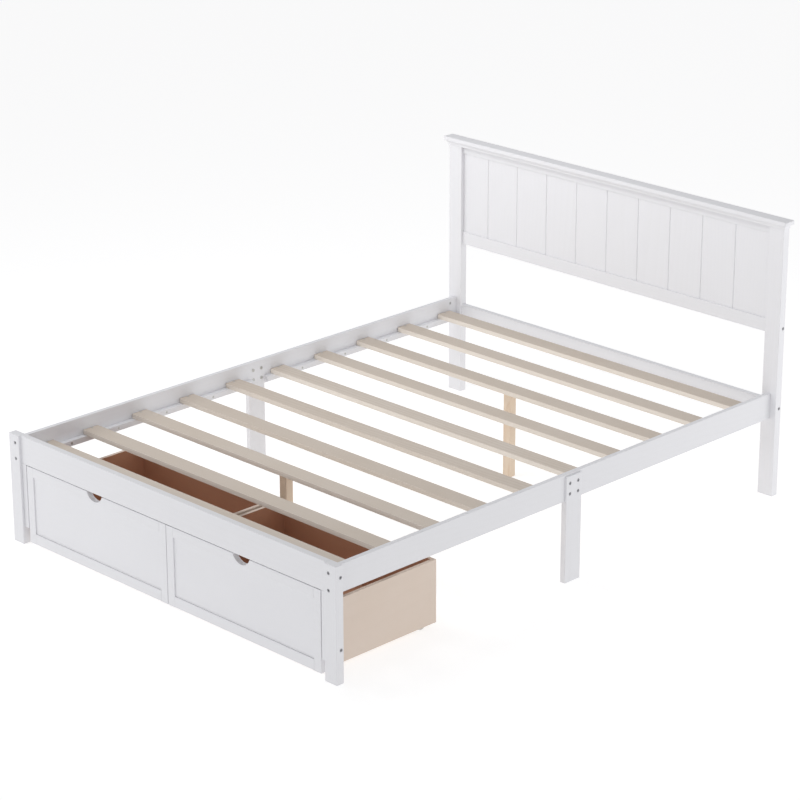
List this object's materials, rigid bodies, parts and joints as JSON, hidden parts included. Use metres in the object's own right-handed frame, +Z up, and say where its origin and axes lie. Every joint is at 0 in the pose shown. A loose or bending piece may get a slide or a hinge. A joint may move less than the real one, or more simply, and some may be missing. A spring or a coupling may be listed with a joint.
{
  "type": "bed frame",
  "caption": "Full-size slatted bed frame with panelled headboard, bolted side rails, middle legs and pull-out drawers on casters in the foot end.",
  "frame": {"origin": "on the floor, in the middle of the bed's outline", "axes": "+Y from the foot end to the headboard, +Z up, +X across the bed to the right of someone who stands at the foot and looks at the headboard"},
  "size_m": [1.492, 1.982, 0.932],
  "materials": {
    "white_paint": "satin white paint",
    "slat_pine": "bare sanded pine",
    "leg_pine": "bare sanded pine",
    "drawer_wood": "bare board",
    "beech": "bare",
    "bolt_steel": "zinc plated, dull",
    "zinc_steel": "zinc plated",
    "caster_steel": "zinc plated",
    "wheel_plastic": "matte nylon"
  },
  "bodies": {
    "bed_frame": {"barrel_nuts": "zinc_steel", "centre_leg_foot": "leg_pine", "centre_leg_head": "leg_pine", "cleats_left": "white_paint", "cleats_right": "white_paint", "dowels": "beech", "foot_filler_left": "white_paint", "foot_filler_right": "white_paint", "foot_post_left": "white_paint", "foot_post_right": "white_paint", "foot_top_rail": "white_paint", "frame_bolts": "bolt_steel", "head_cross_rail": "white_paint", "head_post_left": "white_paint", "head_post_right": "white_paint", "headboard_boards": "white_paint", "headboard_bottom_rail": "white_paint", "headboard_cap": "white_paint", "headboard_crown": "white_paint", "headboard_top_rail": "white_paint", "mid_leg_left": "white_paint", "mid_leg_right": "white_paint", "side_rail_left_foot": "white_paint", "side_rail_left_head": "white_paint", "side_rail_right_foot": "white_paint", "side_rail_right_head": "white_paint", "slat_01": "slat_pine", "slat_02": "slat_pine", "slat_03": "slat_pine", "slat_04": "slat_pine", "slat_05": "slat_pine", "slat_06": "slat_pine", "slat_07": "slat_pine", "slat_08": "slat_pine", "slat_09": "slat_pine", "slat_10": "slat_pine", "sleeve_nuts": "zinc_steel", "wood_screws": "zinc_steel"},
    "drawer_left": {"drawer_left_back": "drawer_wood", "drawer_left_bottom": "drawer_wood", "drawer_left_casters": "caster_steel", "drawer_left_fittings": "zinc_steel", "drawer_left_front": "white_paint", "drawer_left_panel": "white_paint", "drawer_left_sides": "drawer_wood"},
    "wheel_left_1_body": {"wheel_left_1": "wheel_plastic"},
    "wheel_left_2_body": {"wheel_left_2": "wheel_plastic"},
    "wheel_left_3_body": {"wheel_left_3": "wheel_plastic"},
    "wheel_left_4_body": {"wheel_left_4": "wheel_plastic"},
    "drawer_right": {"drawer_right_back": "drawer_wood", "drawer_right_bottom": "drawer_wood", "drawer_right_casters": "caster_steel", "drawer_right_fittings": "zinc_steel", "drawer_right_front": "white_paint", "drawer_right_panel": "white_paint", "drawer_right_sides": "drawer_wood"},
    "wheel_right_1_body": {"wheel_right_1": "wheel_plastic"},
    "wheel_right_2_body": {"wheel_right_2": "wheel_plastic"},
    "wheel_right_3_body": {"wheel_right_3": "wheel_plastic"},
    "wheel_right_4_body": {"wheel_right_4": "wheel_plastic"}
  },
  "joints": [
    {"name": "drawer_left_slide", "type": "slide", "parent": "bed_frame", "child": "drawer_left", "axis": [0, -1, 0], "range_m": [0, 0.42]},
    {"name": "wheel_left_1_roll", "type": "hinge", "parent": "drawer_left", "child": "wheel_left_1_body", "pos_m": [-0.028, -0.92, 0.016], "axis": [1, 0, 0], "continuous": true},
    {"name": "wheel_left_2_roll", "type": "hinge", "parent": "drawer_left", "child": "wheel_left_2_body", "pos_m": [-0.632, -0.92, 0.016], "axis": [1, 0, 0], "continuous": true},
    {"name": "wheel_left_3_roll", "type": "hinge", "parent": "drawer_left", "child": "wheel_left_3_body", "pos_m": [-0.028, -0.564, 0.016], "axis": [1, 0, 0], "continuous": true},
    {"name": "wheel_left_4_roll", "type": "hinge", "parent": "drawer_left", "child": "wheel_left_4_body", "pos_m": [-0.632, -0.564, 0.016], "axis": [1, 0, 0], "continuous": true},
    {"name": "drawer_right_slide", "type": "slide", "parent": "bed_frame", "child": "drawer_right", "axis": [0, -1, 0], "range_m": [0, 0.42]},
    {"name": "wheel_right_1_roll", "type": "hinge", "parent": "drawer_right", "child": "wheel_right_1_body", "pos_m": [0.028, -0.92, 0.016], "axis": [1, 0, 0], "continuous": true},
    {"name": "wheel_right_2_roll", "type": "hinge", "parent": "drawer_right", "child": "wheel_right_2_body", "pos_m": [0.632, -0.92, 0.016], "axis": [1, 0, 0], "continuous": true},
    {"name": "wheel_right_3_roll", "type": "hinge", "parent": "drawer_right", "child": "wheel_right_3_body", "pos_m": [0.028, -0.564, 0.016], "axis": [1, 0, 0], "continuous": true},
    {"name": "wheel_right_4_roll", "type": "hinge", "parent": "drawer_right", "child": "wheel_right_4_body", "pos_m": [0.632, -0.564, 0.016], "axis": [1, 0, 0], "continuous": true}
  ],
  "couplings": [
    {"joint": "wheel_left_1_roll", "follows": "drawer_left_slide", "rad_per_m": 62.5},
    {"joint": "wheel_left_2_roll", "follows": "drawer_left_slide", "rad_per_m": 62.5},
    {"joint": "wheel_left_3_roll", "follows": "drawer_left_slide", "rad_per_m": 62.5},
    {"joint": "wheel_left_4_roll", "follows": "drawer_left_slide", "rad_per_m": 62.5},
    {"joint": "wheel_right_1_roll", "follows": "drawer_right_slide", "rad_per_m": 62.5},
    {"joint": "wheel_right_2_roll", "follows": "drawer_right_slide", "rad_per_m": 62.5},
    {"joint": "wheel_right_3_roll", "follows": "drawer_right_slide", "rad_per_m": 62.5},
    {"joint": "wheel_right_4_roll", "follows": "drawer_right_slide", "rad_per_m": 62.5}
  ]
}
